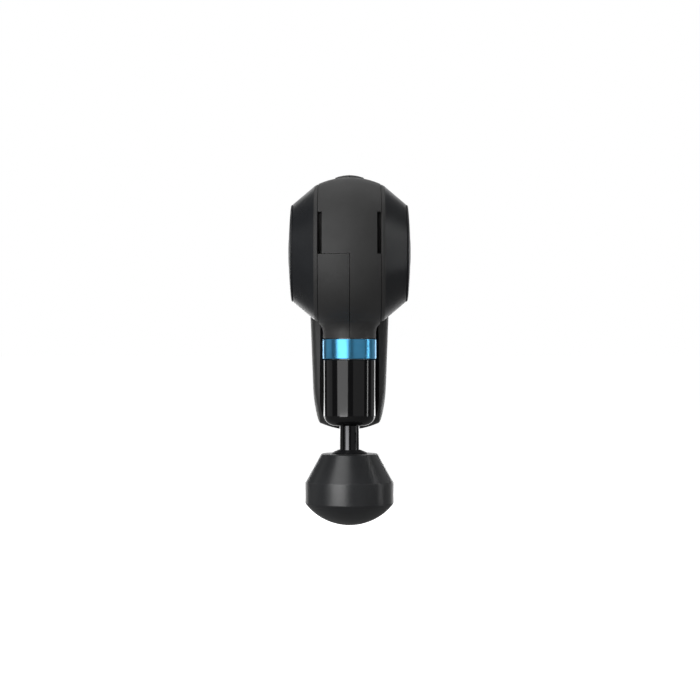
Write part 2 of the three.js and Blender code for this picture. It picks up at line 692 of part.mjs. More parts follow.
const domeHeight = HEAD.beltBottom - HEAD.bottom;
const domeRadius = (HEAD.belt ** 2 + domeHeight ** 2) / (2 * domeHeight);
const domeReach = THREE.MathUtils.radToDeg(Math.asin(HEAD.belt / domeRadius));
const dome = arc(0, HEAD.bottom + domeRadius, domeRadius, -90, -90 + domeReach, 5);
const foamProfile = [
  ...dome,
  [HEAD.belt, HEAD.beltTop],
  [HEAD.topRadius + 0.3, HEAD.top - 0.4],
  [HEAD.topRadius, HEAD.top],
  [COLLAR.tube + GAP, HEAD.top],
  [COLLAR.tube + GAP, COLLAR.bottom - GAP],
  [0, COLLAR.bottom - GAP],
];
add("massage_head", aboutZ(foamProfile, 32), M.foam);

export default gun;
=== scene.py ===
"""The looks of the massage gun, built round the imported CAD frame.

Shapes are worked out in millimetres from the arm's pivot, as in the CAD, and placed in the shared frame
in metres: X runs across the gun, Y to its back and Z up, and the arm hangs down -Z.
"""

import json
import math

import bmesh
import bpy
import numpy as np
from mathutils import Matrix, Vector


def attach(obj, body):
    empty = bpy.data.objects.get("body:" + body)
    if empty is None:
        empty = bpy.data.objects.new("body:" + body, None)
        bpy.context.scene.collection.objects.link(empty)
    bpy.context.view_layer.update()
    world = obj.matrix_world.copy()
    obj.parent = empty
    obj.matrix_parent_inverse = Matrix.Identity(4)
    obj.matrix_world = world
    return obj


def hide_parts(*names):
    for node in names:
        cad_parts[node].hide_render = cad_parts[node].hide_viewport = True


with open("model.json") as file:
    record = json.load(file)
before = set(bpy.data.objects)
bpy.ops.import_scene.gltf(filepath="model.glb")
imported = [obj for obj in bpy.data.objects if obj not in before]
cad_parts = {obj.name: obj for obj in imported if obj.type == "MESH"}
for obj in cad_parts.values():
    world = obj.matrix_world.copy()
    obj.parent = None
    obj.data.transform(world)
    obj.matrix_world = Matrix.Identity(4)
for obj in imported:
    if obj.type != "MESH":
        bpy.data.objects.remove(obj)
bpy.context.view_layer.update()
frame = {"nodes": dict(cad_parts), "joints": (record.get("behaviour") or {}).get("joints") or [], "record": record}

# ------------------------------------------------------------------ driving dimensions, in millimetres

MM = 0.001
ARM_HINGE = next(j for j in frame["joints"] if j["name"] == "arm_hinge")
PIVOT = Vector(ARM_HINGE["pos_m"]) / MM

GAP = 0.3  # between parts that move or come apart
FAR = 300.0  # past everything

# The drum, and the pocket in the handle that holds it.
BALL = 45.4  # radius of the drum
BAND = 18.45  # half the drum's width
SPLIT = -2.4  # height of the step where the arm's shells meet
DRUM_CAVITY = 43.0
DRUM_CAVITY_HALF = 15.7
DRUM_BORE = 24.5  # radius of the opening in each side
POCKET = BALL + 0.5
POCKET_HALF = 18.6

# The arm from the neck down to the barrel's nose: radii, and heights from the pivot.
NECK = 15.9
NECK_END = -51.1
NECK_FILLET = 8.0
ARM_BORE = 12.6
RING = 16.2
RING_TOP = -51.4
RING_BOTTOM = -63.4
BARREL = 15.7
BARREL_TOP = -63.7
BARREL_SHOULDER = -97.0
BARREL_NOSE = -103.3

# The percussion shaft and the head: radii, and heights from the pivot.
SHAFT = 5.85
SHAFT_TOP = -28.8
SHAFT_TIP = -139.5
YOKE_PIN = -32.3
O_RING = -132.0
SOCKET = 8.4
SOCKET_BORE = 6.15
SOCKET_END = -142.0
HEAD_TOP = -120.1
HEAD_BELT = 26.6
HEAD_BELT_HIGH = -136.9
HEAD_BELT_LOW = -149.8
HEAD_BOTTOM = -163.0

# The handle seen from the side, as belts round circles (y, z, radius).
OUTLINE = ((7, 43.6, 4), (112, 31.6, 16), (106, 2, 22), (50, -82.5, 24), (19, -90.5, 16))
OPENING = ((50, 1.5, 13), (91, 4.5, 10), (47, -65, 10))
LOOP_CENTRE = np.array((62.0, -18.0))
FOOT_HALF = 20.6  # half the handle's width at its foot
WALL = 2.6
GROOVE = 19.0  # radius of the channel that the arm rests in
SCREWS = ((29, -56), (34, -92), (89.4, -40), (104.5, -9))
SCREW_HOLE = 1.9
SCREW_RECESS = 3.3

# The cone of a bell, as (radius, distance from the middle) points, and the cap that closes it.
CONE_FOOT = (40.3, 20.6)
CONE_TIP = (29.4, 33.6)
CAP_FACE = 36.4  # how far the middle of a cap stands from the gun's middle
CAP_DOME = 270.0  # radius of a cap's dome

# The top bar's crown, and what is let into it from front to rear.
CROWN = 23.5  # radius of the crown
BAR_TOP = 47.6
STRIP_HALF = 8.6
STRIP_DEEP = 1.2
GRIP = (9.0, 76.0)
RIB_START = 15.0
RIB_PITCH = 2.6
PANEL = (78.0, 108.0)
LIGHT = (82.3, 91.7)
LIGHT_HALF = 1.2
BUTTON = 5.5
BUTTON_Y = 100.0

# The battery in the top bar, and the latches in its end cap.
BATTERY_Z = 27.8
BATTERY_PITCH = 9.7
BATTERY_RADIUS = 10.5
END_PLANE = 114.0  # where the end cap starts
LATCH_Y = 116.8
LATCH_Z = 20.0

# The studio, in metres. Its floor is low enough for the head to be pulled off above it.
FLOOR_HEIGHT = -0.045
FLOOR_REACH = 40.0
AIM_HEIGHT = 0.11  # of the point that the softboxes face
CAMERA_DISTANCE = 1.09
CAMERA_DROP = 0.058
CAMERA_ASIDE = 0.0003
PICTURE_WIDTH = 0.42  # the width seen at the pivot

# ------------------------------------------------------------------ meshes


def mesh_object(name, points, faces):
    """A mesh object from points in millimetres about the pivot."""
    mesh = bpy.data.meshes.new(name)
    mesh.from_pydata([tuple((Vector(p) + PIVOT) * MM) for p in points], [], faces)
    made = bmesh.new()
    made.from_mesh(mesh)
    bmesh.ops.remove_doubles(made, verts=made.verts, dist=1e-7)
    bmesh.ops.dissolve_degenerate(made, edges=made.edges, dist=1e-8)
    bmesh.ops.recalc_face_normals(made, faces=made.faces)
    if made.calc_volume(signed=True) < 0:
        bmesh.ops.reverse_faces(made, faces=made.faces)
    made.to_mesh(mesh)
    made.free()
    obj = bpy.data.objects.new(name, mesh)
    bpy.context.scene.collection.objects.link(obj)
    return obj


def combine(obj, tools, operation):
    """Cuts, joins or intersects obj with each tool, and removes the tools."""
    for tool in tools:
        modifier = obj.modifiers.new("combine", "BOOLEAN")
        modifier.operation = operation
        modifier.solver = "MANIFOLD"
        modifier.object = tool
        evaluated = obj.evaluated_get(bpy.context.evaluated_depsgraph_get())
        mesh = bpy.data.meshes.new_from_object(evaluated)
        obj.modifiers.clear()
        old = obj.data
        obj.data = mesh
        bpy.data.meshes.remove(old)
        bpy.data.objects.remove(tool)
    return obj


def cut(obj, *tools):
    return combine(obj, tools, "DIFFERENCE")


def join(obj, *tools):
    return combine(obj, tools, "UNION")


def keep(obj, *tools):
    return combine(obj, tools, "INTERSECT")


def polar(radius, degrees, u=0.0, v=0.0):
    """The point at an angle round a centre (u, v)."""
    a = math.radians(degrees)
    return (u + radius * math.cos(a), v + radius * math.sin(a))


def arc(u, v, radius, start, end, steps):
    """Points round a centre (u, v), from one angle in degrees to another."""
    return [polar(radius, start + (end - start) * i / steps, u, v) for i in range(steps + 1)]


def rounded(points, radius, steps=4):
    """A closed outline with its corners rounded. A corner on the axis, where u is 0, stays."""
    out = []
    for i, p in enumerate(points):
        here = Vector(p)
        before = Vector(points[i - 1]) - here
        after = Vector(points[(i + 1) % len(points)]) - here
        turn = math.pi - before.angle(after, 0.0)
        if abs(here.x) < 1e-6 or turn < math.radians(20):
            out.append(tuple(here))
            continue
        reach = min(radius * math.tan(turn / 2), 0.4 * before.length, 0.4 * after.length)
        start = here + before.normalized() * reach
        end = here + after.normalized() * reach
        for k in range(steps + 1):
            t = k / steps
            out.append(tuple(start * (1 - t) ** 2 + here * 2 * t * (1 - t) + end * t * t))
    return out


def tube_faces(rings, sides):
    """The faces of a closed tube, whose points come ring by ring."""
    faces = []
    for k in range(rings):
        step = sides if k + 1 < rings else -k * sides
        for j in range(sides):
            a = k * sides + j
            b = k * sides + (j + 1) % sides
            faces.append((a, b, b + step, a + step))
    return faces


def turned(name, profile, along="Z", side=1, segments=96):
    """A closed profile of (radius, height) points, turned about the Z or the X axis through the pivot."""
    points = []
    for k in range(segments):
        c, s = polar(1.0, 360 * k / segments)
        for r, h in profile:
            points.append((side * h, r * c, r * s) if along == "X" else (r * c, r * s, h))
    return mesh_object(name, points, tube_faces(segments, len(profile)))


def ring_profile(inner, outer, low, high):
    return [(inner, low), (outer, low), (outer, high), (inner, high)]


def prism(name, outline, low, high, along="X"):
    """An outline drawn out from low to high: (y, z) points along X, (x, z) along Y or (x, y) along Z."""
    order = {"X": (2, 0, 1), "Y": (0, 2, 1), "Z": (0, 1, 2)}[along]
    points = []
    for h in (low, high):
        for u, v in outline:
            source = (u, v, h)
            points.append(tuple(source[i] for i in order))
    n = len(outline)
    sides = [(i, (i + 1) % n, n + (i + 1) % n, n + i) for i in range(n)]
    return mesh_object(name, points, [tuple(range(n)), tuple(range(2 * n - 1, n - 1, -1)), *sides])


def rectangle(u, v, cu=0.0, cv=0.0):
    """The corners of a rectangle, from its half sizes and its centre."""
    return [(cu - u, cv - v), (cu + u, cv - v), (cu + u, cv + v), (cu - u, cv + v)]


def block(low, high):
    """A box between its lowest and its highest corner."""
    outline = [(low[0], low[1]), (high[0], low[1]), (high[0], high[1]), (low[0], high[1])]
    return prism("block", outline, low[2], high[2], "Z")


def across(side, near, far):
    """A span across X on one side of the gun, its lower end first."""
    return sorted((side * near, side * far))


def rod(radius, low, high, along="Z", at=(0, 0), segments=64):
    """A cylinder along X through (y, z), or along Z through (x, y)."""
    return prism("rod", arc(*at, radius, 0, 360 - 360 / segments, segments - 1), low, high, along)


def shade(obj, degrees):
    """Smooth shading with the sharper edges kept, and normals that follow the larger faces."""
    obj.data.polygons.foreach_set("use_smooth", [True] * len(obj.data.polygons))
    obj.data.set_sharp_from_angle(angle=math.radians(degrees))
    normals = obj.modifiers.new("normals", "WEIGHTED_NORMAL")
    normals.keep_sharp = True


# ------------------------------------------------------------------ the handle's loop

NORMALS = np.array([polar(1.0, 0.5 * k) for k in range(720)])


def reaches(circles):
    """How far a belt round circles reaches along each normal."""
    rows = [NORMALS @ np.array(c[:2], float) + c[2] for c in circles]
    return np.max(rows, axis=0)


def distance_to(belt_reaches, direction):
    """The distance from the loop's centre to a belt along a direction."""
    along = NORMALS @ direction
    facing = along > 1e-3
    offsets = belt_reaches[facing] - NORMALS[facing] @ LOOP_CENTRE
    return np.min(offsets / along[facing])


def loop_directions(count):
    """Directions from the loop's centre, closer together where its outline bends."""
    fine = np.linspace(-math.pi, math.pi, 2880, endpoint=False)
    outline = reaches(OUTLINE)
    opening = reaches(OPENING)
    rows = []
    for a in fine:
        direction = np.array((math.cos(a), math.sin(a)))
        outer = direction * distance_to(outline, direction)
        inner = direction * distance_to(opening, direction)
        rows.append([outer, inner])
    line = np.array(rows)
    step = np.roll(line, -1, axis=0) - line
    heading = np.arctan2(step[..., 1], step[..., 0])
    turn = np.abs(np.angle(np.exp(1j * (np.roll(heading, -1, axis=0) - heading))))
    length = np.linalg.norm(step, axis=2).sum(axis=1)
    # 400 mm of outline get as many directions as 9 radians of bend.
    weight = length / 400 + turn.sum(axis=1) / 9
    travelled = np.concatenate(([0.0], np.cumsum(weight)))
    wanted = np.linspace(0, travelled[-1], count, endpoint=False)
    angles = np.interp(wanted, travelled, np.append(fine, math.pi))
    return [np.array((math.cos(a), math.sin(a))) for a in angles]


def clamp(x):
    return min(max(x, 0.0), 1.0)


def smooth_step(x, low, high):
    """0 up to `low` and 1 from `high`, with a gentle rise between them."""
    t = clamp((x - low) / (high - low))
    return t * t * (3 - 2 * t)


def half_width(z):
    """Half the handle's width, which narrows downwards and again round the foot."""
    taper = 1.7 * clamp((z + 84) / 46)
    foot = 1.5 * smooth_step(z, -101, -82)
    return FOOT_HALF + taper + foot


def section(z, steps):
    """Half of a bar's section from outer to inner middle, as shares of its half width and thickness."""
    crown = 0.098 + 0.172 * smooth_step(z, -70, 10)  # how far the outer face falls towards its edge
    edge = 0.84  # where the outer face ends
    shoulder = 0.54  # where the section is widest
    shoulder = 0.54
    points = [(edge * t, 1 - crown * t * t) for t in np.linspace(0, 1, steps)]
    for a in np.linspace(0, 90, steps)[1:]:
        c, s = polar(1.0, a)
        points.append((edge + (1 - edge) * s, shoulder + (1 - crown - shoulder) * c))
    for a in np.linspace(0, 90, 2 * steps)[1:]:
        c, s = polar(1.0, a)
        points.append((max(c, 0.0) ** 0.6, shoulder * (1 - s**0.75)))
    return points


def loop(inset=0.0, count=260, steps=9):
    """The closed loop of the handle, set in by `inset` from its surface."""
    outline = reaches(OUTLINE) - inset
    opening = reaches(OPENING) + inset
    rings = []
    for direction in loop_directions(count):
        outer = distance_to(outline, direction)
        inner = distance_to(opening, direction)
        half = []
        for u, h in section(LOOP_CENTRE[1] + direction[1] * (outer + inner) / 2, steps):
            y, z = LOOP_CENTRE + direction * (inner + (outer - inner) * h)
            half.append((u * (half_width(z) - inset), y, z))
        rings.append(half + [(-x, y, z) for x, y, z in reversed(half[1:-1])])
    return mesh_object("loop", [p for ring in rings for p in ring], tube_faces(count, len(rings[0])))


# ------------------------------------------------------------------ shared shapes


def ball_band(radius, half, segments=160):
    """The band of a ball between two planes across X."""
    reach = math.degrees(math.asin(half / radius))
    bulge = arc(0, 0, radius, -reach, reach, 24)
    return turned("ball_band", [(0, -half), *bulge, (0, half)], "X", segments=segments)


def arm_outside(grow, half):
    """The drum and its neck between two planes across X, grown by `grow`, with a fillet between them."""
    centre = NECK + NECK_FILLET
    drop = math.sqrt((BALL + NECK_FILLET) ** 2 - centre**2)
    tangent = math.degrees(math.atan2(drop, centre))
    profile = [
        (0, NECK_END),
        (NECK + grow, NECK_END),
        *arc(centre, -drop, NECK_FILLET - grow, 180, 180 - tangent, 14),
        *arc(0, 0, BALL + grow, -tangent, 90, 72)[1:],
    ]
    whole = turned("arm_outside", profile, segments=160)
    return keep(whole, block((-half, -FAR, -FAR), (half, FAR, FAR)))


def groove(radius):
    """The channel below the drum."""
    return rod(radius, -130, -30, segments=128)


def crown_line(lift, half, steps=16):
    """The crown's line across X, raised by `lift`."""
    radius = CROWN + lift
    reach = math.degrees(math.asin(half / radius))
    return arc(0, BAR_TOP - CROWN, radius, 90 - reach, 90 + reach, steps)


def crown_strip(name, half, lift, deep, front, rear):
    """A strip along the crown, from `lift` above it to `deep` below it."""
    return prism(name, crown_line(lift, half) + crown_line(-deep, half)[::-1], front, rear, "Y")


def strip_recess(front, rear):
    """The room in the top bar for a strip."""
    return crown_strip("recess", STRIP_HALF + GAP, 1, STRIP_DEEP + GAP, front - GAP, rear + GAP)


def button_hole():
    return rod(BUTTON + GAP, 40, 60, "Z", (0, BUTTON_Y))


def cell_pair(name, radius, front, rear):
    """The outside of two cells side by side."""
    right = arc(BATTERY_PITCH, BATTERY_Z, radius, -90, 90, 24)
    left = arc(-BATTERY_PITCH, BATTERY_Z, radius, 90, 270, 24)
    return prism(name, right + left, front, rear, "Y")


# ------------------------------------------------------------------ materials


def shader(name, color, roughness, metallic=0.0):
    """A new material and its node tree, its Principled shader and its object coordinates."""
    material = bpy.data.materials.new(name)
    material.use_nodes = True
    tree = material.node_tree
    principled = tree.nodes["Principled BSDF"]
    principled.inputs["Base Color"].default_value = (*color, 1)
    principled.inputs["Roughness"].default_value = roughness
    principled.inputs["Metallic"].default_value = metallic
    coords = tree.nodes.new("ShaderNodeTexCoord").outputs["Object"]
    return material, tree, principled, coords


def noise(tree, coords, scale, detail=3.0):
    """A noise value, `scale` cells to the metre."""
    node = tree.nodes.new("ShaderNodeTexNoise")
    node.inputs["Scale"].default_value = scale
    node.inputs["Detail"].default_value = detail
    tree.links.new(coords, node.inputs["Vector"])
    return node.outputs["Fac"]


def ranged(tree, value, low, high, from_low=0.3, from_high=0.7):
    """A value mapped from one range to another."""
    node = tree.nodes.new("ShaderNodeMapRange")
    sockets = ("From Min", "From Max", "To Min", "To Max")
    for socket, number in zip(sockets, (from_low, from_high, low, high)):
        node.inputs[socket].default_value = number
    tree.links.new(value, node.inputs["Value"])
    return node.outputs["Result"]


def tinted(tree, factor, dark, light, target):
    """Feeds a socket a colour between dark and light."""
    node = tree.nodes.new("ShaderNodeMix")
    node.data_type = "RGBA"
    node.inputs["A"].default_value = (*dark, 1)
    node.inputs["B"].default_value = (*light, 1)
    tree.links.new(factor, node.inputs["Factor"])
    tree.links.new(node.outputs["Result"], target)


def bumped(tree, heights, principled):
    """Chains bumps, each (height, strength, distance in metres), into the shader's normal."""
    normal = None
    for height, strength, distance in heights:
        node = tree.nodes.new("ShaderNodeBump")
        node.inputs["Strength"].default_value = strength
        node.inputs["Distance"].default_value = distance
        tree.links.new(height, node.inputs["Height"])
        if normal:
            tree.links.new(normal, node.inputs["Normal"])
        normal = node.outputs["Normal"]
    tree.links.new(normal, principled.inputs["Normal"])


def worn_edges(tree):
    """1 on sharp outward edges, 0 on flat and hollow places."""
    geometry = tree.nodes.new("ShaderNodeNewGeometry")
    return ranged(tree, geometry.outputs["Pointiness"], 0.0, 1.0, 0.52, 0.62)


def scaled(color, factor):
    """A colour made lighter or darker."""
    return tuple(c * factor for c in color)


def moulded_plastic(name, color, roughness, grain=0.25, sheen=0.0):
    """Satin plastic with a fine spark-eroded grain, faint mottling and slightly polished edges."""
    material, tree, principled, coords = shader(name, color, roughness)
    principled.inputs["Sheen Weight"].default_value = sheen
    principled.inputs["Sheen Roughness"].default_value = 0.4
    mottle = ranged(tree, noise(tree, coords, 60), 0, 1)
    tinted(tree, mottle, scaled(color, 0.9), scaled(color, 1.12), principled.inputs["Base Color"])
    handled = ranged(tree, noise(tree, coords, 25, 5), roughness - 0.08, roughness + 0.07)
    polish = tree.nodes.new("ShaderNodeMath")
    polish.operation = "MULTIPLY_ADD"
    polish.inputs[1].default_value = -0.12
    tree.links.new(worn_edges(tree), polish.inputs[0])
    tree.links.new(handled, polish.inputs[2])
    tree.links.new(polish.outputs[0], principled.inputs["Roughness"])
    coarse = noise(tree, coords, 1400, 3)
    fine = noise(tree, coords, 3500, 2)
    bumped(tree, [(coarse, grain, 0.00012), (fine, grain, 0.00005)], principled)
    return material


def gloss_plastic(name, color, roughness):
    """Polished plastic with faint wipe marks."""
    material, tree, principled, coords = shader(name, color, roughness)
    wipes = ranged(tree, noise(tree, coords, 35, 6), roughness * 0.85, roughness * 1.25)
    tree.links.new(wipes, principled.inputs["Roughness"])
    bumped(tree, [(noise(tree, coords, 400, 2), 0.03, 0.00003)], principled)
    return material


def rubber(name, color):
    """Matt rubber with a fine open texture and dusty patches."""
    material, tree, principled, coords = shader(name, color, 0.75)
    dust = ranged(tree, noise(tree, coords, 90, 5), 0, 1)
    tinted(tree, dust, scaled(color, 0.85), scaled(color, 1.25), principled.inputs["Base Color"])
    tree.links.new(ranged(tree, dust, 0.69, 0.83, 0, 1), principled.inputs["Roughness"])
    bumped(tree, [(noise(tree, coords, 1800, 4), 0.35, 0.00015)], principled)
    return material


def foam(name, color):
    """Dense closed-cell foam with a smooth skin: small cells show through it, and it has a soft bloom."""
    material, tree, principled, coords = shader(name, color, 0.3)
    principled.inputs["Specular IOR Level"].default_value = 0.75
    principled.inputs["Sheen Weight"].default_value = 0.04
    principled.inputs["Sheen Roughness"].default_value = 0.5
    cells = tree.nodes.new("ShaderNodeTexVoronoi")
    cells.inputs["Scale"].default_value = 1500
    tree.links.new(coords, cells.inputs["Vector"])
    cloud = ranged(tree, noise(tree, coords, 70, 4), 0, 1)
    tinted(tree, cloud, scaled(color, 0.88), scaled(color, 1.12), principled.inputs["Base Color"])
    tree.links.new(ranged(tree, cloud, 0.28, 0.34, 0, 1), principled.inputs["Roughness"])
    heights = [(cells.outputs["Distance"], 0.08, 0.00005), (noise(tree, coords, 400, 3), 0.06, 0.0001)]
    bumped(tree, heights, principled)
    return material


def metal(name, color, roughness, fineness=(1, 1, 1), depth=0.12):
    """Machined or cast metal. Its tool marks run across the axis with the largest `fineness`."""
    material, tree, principled, coords = shader(name, color, roughness, 1.0)
    mapping = tree.nodes.new("ShaderNodeMapping")
    mapping.inputs["Scale"].default_value = fineness
    tree.links.new(coords, mapping.inputs["Vector"])
    marks = noise(tree, mapping.outputs["Vector"], 900, 4)
    stains = ranged(tree, noise(tree, coords, 80, 4), 0, 1)
    tinted(tree, stains, scaled(color, 0.86), scaled(color, 1.06), principled.inputs["Base Color"])
    tree.links.new(ranged(tree, marks, roughness * 0.9, roughness * 1.15), principled.inputs["Roughness"])
    bumped(tree, [(marks, depth, 0.00006)], principled)
    return material


def circuit_board(name):
    """Green solder mask over darker copper tracks."""
    material, tree, principled, coords = shader(name, (0.01, 0.09, 0.045), 0.35)
    tracks = tree.nodes.new("ShaderNodeTexBrick")
    tracks.inputs["Scale"].default_value = 180
    tracks.inputs["Mortar Size"].default_value = 0.05
    tracks.inputs["Color1"].default_value = (0.008, 0.075, 0.04, 1)
    tracks.inputs["Color2"].default_value = (0.01, 0.09, 0.045, 1)
    tracks.inputs["Mortar"].default_value = (0.02, 0.16, 0.08, 1)
    tree.links.new(coords, tracks.inputs["Vector"])
    tree.links.new(tracks.outputs["Color"], principled.inputs["Base Color"])
    solder = noise(tree, coords, 900)
    bumped(tree, [(tracks.outputs["Fac"], 0.3, 0.0001), (solder, 0.1, 0.0001)], principled)
    return material


def frosted_lens(name):
    """Milky plastic over the charge light."""
    material, tree, principled, coords = shader(name, (0.62, 0.68, 0.7), 0.35)
    principled.inputs["Subsurface Weight"].default_value = 0.3
    principled.inputs["Subsurface Radius"].default_value = (0.001, 0.001, 0.001)
    tree.links.new(ranged(tree, noise(tree, coords, 1200), 0.3, 0.45), principled.inputs["Roughness"])
    bumped(tree, [(noise(tree, coords, 2500), 0.15, 0.00005)], principled)
    return material


MATERIALS = {
    "housing": moulded_plastic("housing", (0.034, 0.034, 0.034), 0.56, sheen=0.12),
    # the caps' own dark colour, also put on the flank facings, where it is painted shade
    "side_cap": moulded_plastic("side_cap", (0.014, 0.0154, 0.0178), 0.46),
    "gloss_black": gloss_plastic("gloss_black", (0.006, 0.006, 0.0065), 0.09),
    "accent_blue": metal("accent_blue", (0.12, 0.5, 0.86), 0.24, (1, 1, 30), 0.001),
    "black_shaft": metal("black_shaft", (0.048, 0.048, 0.05), 0.14, (1, 1, 20), 0.006),
    "head_foam": foam("head_foam", (0.016, 0.0172, 0.019)),
    "head_socket": moulded_plastic("head_socket", (0.012, 0.0125, 0.014), 0.38),
    "soft_rubber": rubber("soft_rubber", (0.012, 0.012, 0.012)),
    "white_polymer": moulded_plastic("white_polymer", (0.64, 0.62, 0.55), 0.4, 0.1),
    "steel": metal("steel", (0.52, 0.53, 0.55), 0.3, (1, 14, 14)),
    "aluminium": metal("aluminium", (0.72, 0.73, 0.74), 0.32, (1, 6, 6)),
    "bronze": metal("bronze", (0.5, 0.3, 0.11), 0.42, depth=0.3),
    "copper": metal("copper", (0.62, 0.22, 0.09), 0.3, (14, 1, 1), 0.3),
    "magnet": metal("magnet", (0.09, 0.09, 0.095), 0.45, depth=0.25),
    "board_green": circuit_board("board_green"),
    "black_insert": moulded_plastic("black_insert", (0.008, 0.008, 0.008), 0.35),
    "cell_wrap": gloss_plastic("cell_wrap", (0.02, 0.14, 0.3), 0.3),
    "clear_lens": frosted_lens("clear_lens"),
}


def dress(obj, body, slot, *nodes, angle=28):
    """Shades a finished piece and ties it to its body, material slot and the CAD nodes it replaces."""
    shade(obj, angle)
    obj.data.materials.clear()
    obj.data.materials.append(MATERIALS[slot])
    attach(obj, body)
    if nodes:
        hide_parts(*nodes)
    return obj


# ------------------------------------------------------------------ handle


def bell(side):
    """The cone of a handle shell that holds one side of the drum."""
    profile = [
        (29.9, 18.6),
        (41.3, 18.6),
        CONE_FOOT,
        CONE_TIP,
        (26.2, 33.6),
        (26.2, 32.0),
        (36.8, 20.8),
        (29.9, 20.8),
    ]
    return turned("bell", rounded(profile, 0.5), "X", side, 160)


def flank(name, side, lift=0.0):
    """The thin facing let into the cone, whose darker colour is painted shade for the cone's sideways faces. With
    a lift it reaches past the cone, to cut its recess.
    """
    foot = np.array((39.98, 20.98))
    tip = np.array(CONE_TIP)
    deep = np.array((0.8, 0.67))
    rise = np.array((0.77, 0.64)) * lift
    return turned(name, [foot + rise, tip + rise, tip - deep, foot - deep], "X", side, 160)


def screw_holes(side):
    """The holes through a shell for its screws, with recesses in the right shell for their heads."""
    holes = []
    for at in SCREWS:
        holes.append(rod(SCREW_HOLE, -10, 30, "X", at, 24))
        if side > 0:
            holes.append(rod(SCREW_RECESS, 18, 30, "X", at, 40))
    return holes


def handle_body():
    """Both shells in one: a hollow loop with room for the drum, the arm, the battery and the strips."""
    hollow = loop(WALL, 120, 5)
    bosses = [rod(4.5, -22, 22, "X", at, 24) for at in SCREWS]
    cut(hollow, groove(GROOVE + WALL), ball_band(POCKET + WALL, POCKET_HALF + WALL, 96), *bosses)
    body = loop()
    return cut(
        body,
        hollow,
        ball_band(POCKET, POCKET_HALF),
        arm_outside(GAP, POCKET_HALF),
        groove(GROOVE),
        rod(36.5, -FAR, FAR, "X", segments=128),
        cell_pair("cavity", BATTERY_RADIUS + GAP, 44.7, END_PLANE),
        strip_recess(*GRIP),
        strip_recess(*PANEL),
        button_hole(),
        block((-FAR, END_PLANE - GAP / 2, -FAR), (FAR, FAR, FAR)),
    )


def copy_of(obj, name):
    """A copy of an object with a mesh of its own."""
    made = bpy.data.objects.new(name, obj.data.copy())
    bpy.context.scene.collection.objects.link(made)
    return made


def side_cap(name, side):
    """A shallow dome with a rolled edge and a round hole in its middle."""
    dome = [(r, CAP_FACE - r * r / (2 * CAP_DOME)) for r in (9.3, 12, 15, 18, 21, 24, 26, 27.4)]
    profile = [
        *dome,
        (28.3, 34.9),
        (28.9, 34.5),
        (29.1, 33.9),
        (25.9, 33.9),
        (25.9, 31.6),
        (23.9, 31.6),
        (23.9, 34),
        (9.3, 34),
    ]
    return turned(name, rounded(profile, 0.25, 3), "X", side, 144)


def screw(name, at):
    """A round-headed screw with a hexagon socket."""
    profile = rounded([(0, -8), (1.5, -8), (1.5, 18.3), (3, 18.3), (3, 20.3), (0, 20.3)], 0.35, 3)
    made = turned(name, profile, "X", segments=48)
    made.data.transform(Matrix.Translation(Vector((0, *at)) * MM))
    socket = prism("socket", arc(*at, 1.4, 0, 300, 5), 19.2, 22)
    return cut(made, socket)


def build_handle():
    """The shells with their facings, the caps, the right cap's plug and the screws."""
    body = handle_body()
    for name, side in (("left", -1), ("right", 1)):
        low, high = across(side, GAP / 2, FAR)
        half = keep(copy_of(body, f"handle_{name}"), block((low, -FAR, -FAR), (high, FAR, FAR)))
        cut(join(half, bell(side)), flank("recess", side, 1.0), *screw_holes(side))
        # the facing's dark side_cap colour is painted shade: the cone is the shell's plastic, darker only where it
        # faces sideways
        dress(flank(f"flank_{name}", side), "handle", "side_cap", f"handle_shell_{name}")
        dress(half, "handle", "housing", f"handle_shell_{name}")
        dress(side_cap(f"cap_{name}", side), "handle", "side_cap", f"side_cap_{name}")
    bpy.data.objects.remove(body)
    plug_profile = rounded([(0, 33), (9, 33), (9, CAP_FACE), (0, CAP_FACE)], 0.5)
    dress(turned("cap_plug", plug_profile, "X", segments=96), "handle", "gloss_black", "side_cap_plug")
    for i, at in enumerate(SCREWS, 1):
        dress(screw(f"screw_{i}", at), "handle", "steel", f"shell_screw_{i}")


def build_grip():
    """The rubber strip behind the drum, with grooves across it that leave ribs."""
    strip = crown_strip("grip", STRIP_HALF, 0.15, STRIP_DEEP, *GRIP)
    cut(strip, ball_band(POCKET, POCKET_HALF))
    for k in range(22):
        y = RIB_START + RIB_PITCH * k
        cut(strip, crown_strip("rib_cut", 6.8, 1, 0.3, y, y + 0.9))
    dress(strip, "handle", "soft_rubber", "grip_strip")


def build_panel():
    """The gloss panel round the power key, and its charge light."""
    panel = crown_strip("panel", STRIP_HALF, 0, STRIP_DEEP, *PANEL)
    light_side = LIGHT_HALF + GAP
    light_hole = block((-light_side, LIGHT[0] - GAP, 40), (light_side, LIGHT[1] + GAP, 60))
    cut(panel, button_hole(), light_hole)
    dress(panel, "handle", "gloss_black", "control_panel")
    light = crown_strip("light", LIGHT_HALF, 0, STRIP_DEEP, *LIGHT)
    dress(light, "handle", "clear_lens", "led_window")


def build_power_key():
    """A round key with a generic open ring and bar sunk into its top."""
    profile = rounded([(0, 43.9), (BUTTON, 43.9), (BUTTON, BAR_TOP), (0, BAR_TOP - 0.25)], 0.6)
    key = turned("power_key", profile, segments=72)
    key.data.transform(Matrix.Translation(Vector((0, BUTTON_Y, 0)) * MM))
    sunk = BAR_TOP - 0.5
    above = BAR_TOP + 1
    ring = arc(0, BUTTON_Y, 2.3, 120, 420, 24) + arc(0, BUTTON_Y, 1.9, 420, 120, 24)
    cut(key, prism("ring", ring, sunk, above, "Z"))
    cut(key, block((-0.2, BUTTON_Y + 1.2, sunk), (0.2, BUTTON_Y + 3, above)))
    dress(key, "power", "soft_rubber", "power_button")


# ------------------------------------------------------------------ battery


def latch_span(grow, low, high):
    """The latches' outline, grown by `grow`, between two planes across X."""
    return prism("latch", rounded(rectangle(2 + grow, 6 + grow, LATCH_Y, LATCH_Z), 0.8), low, high)


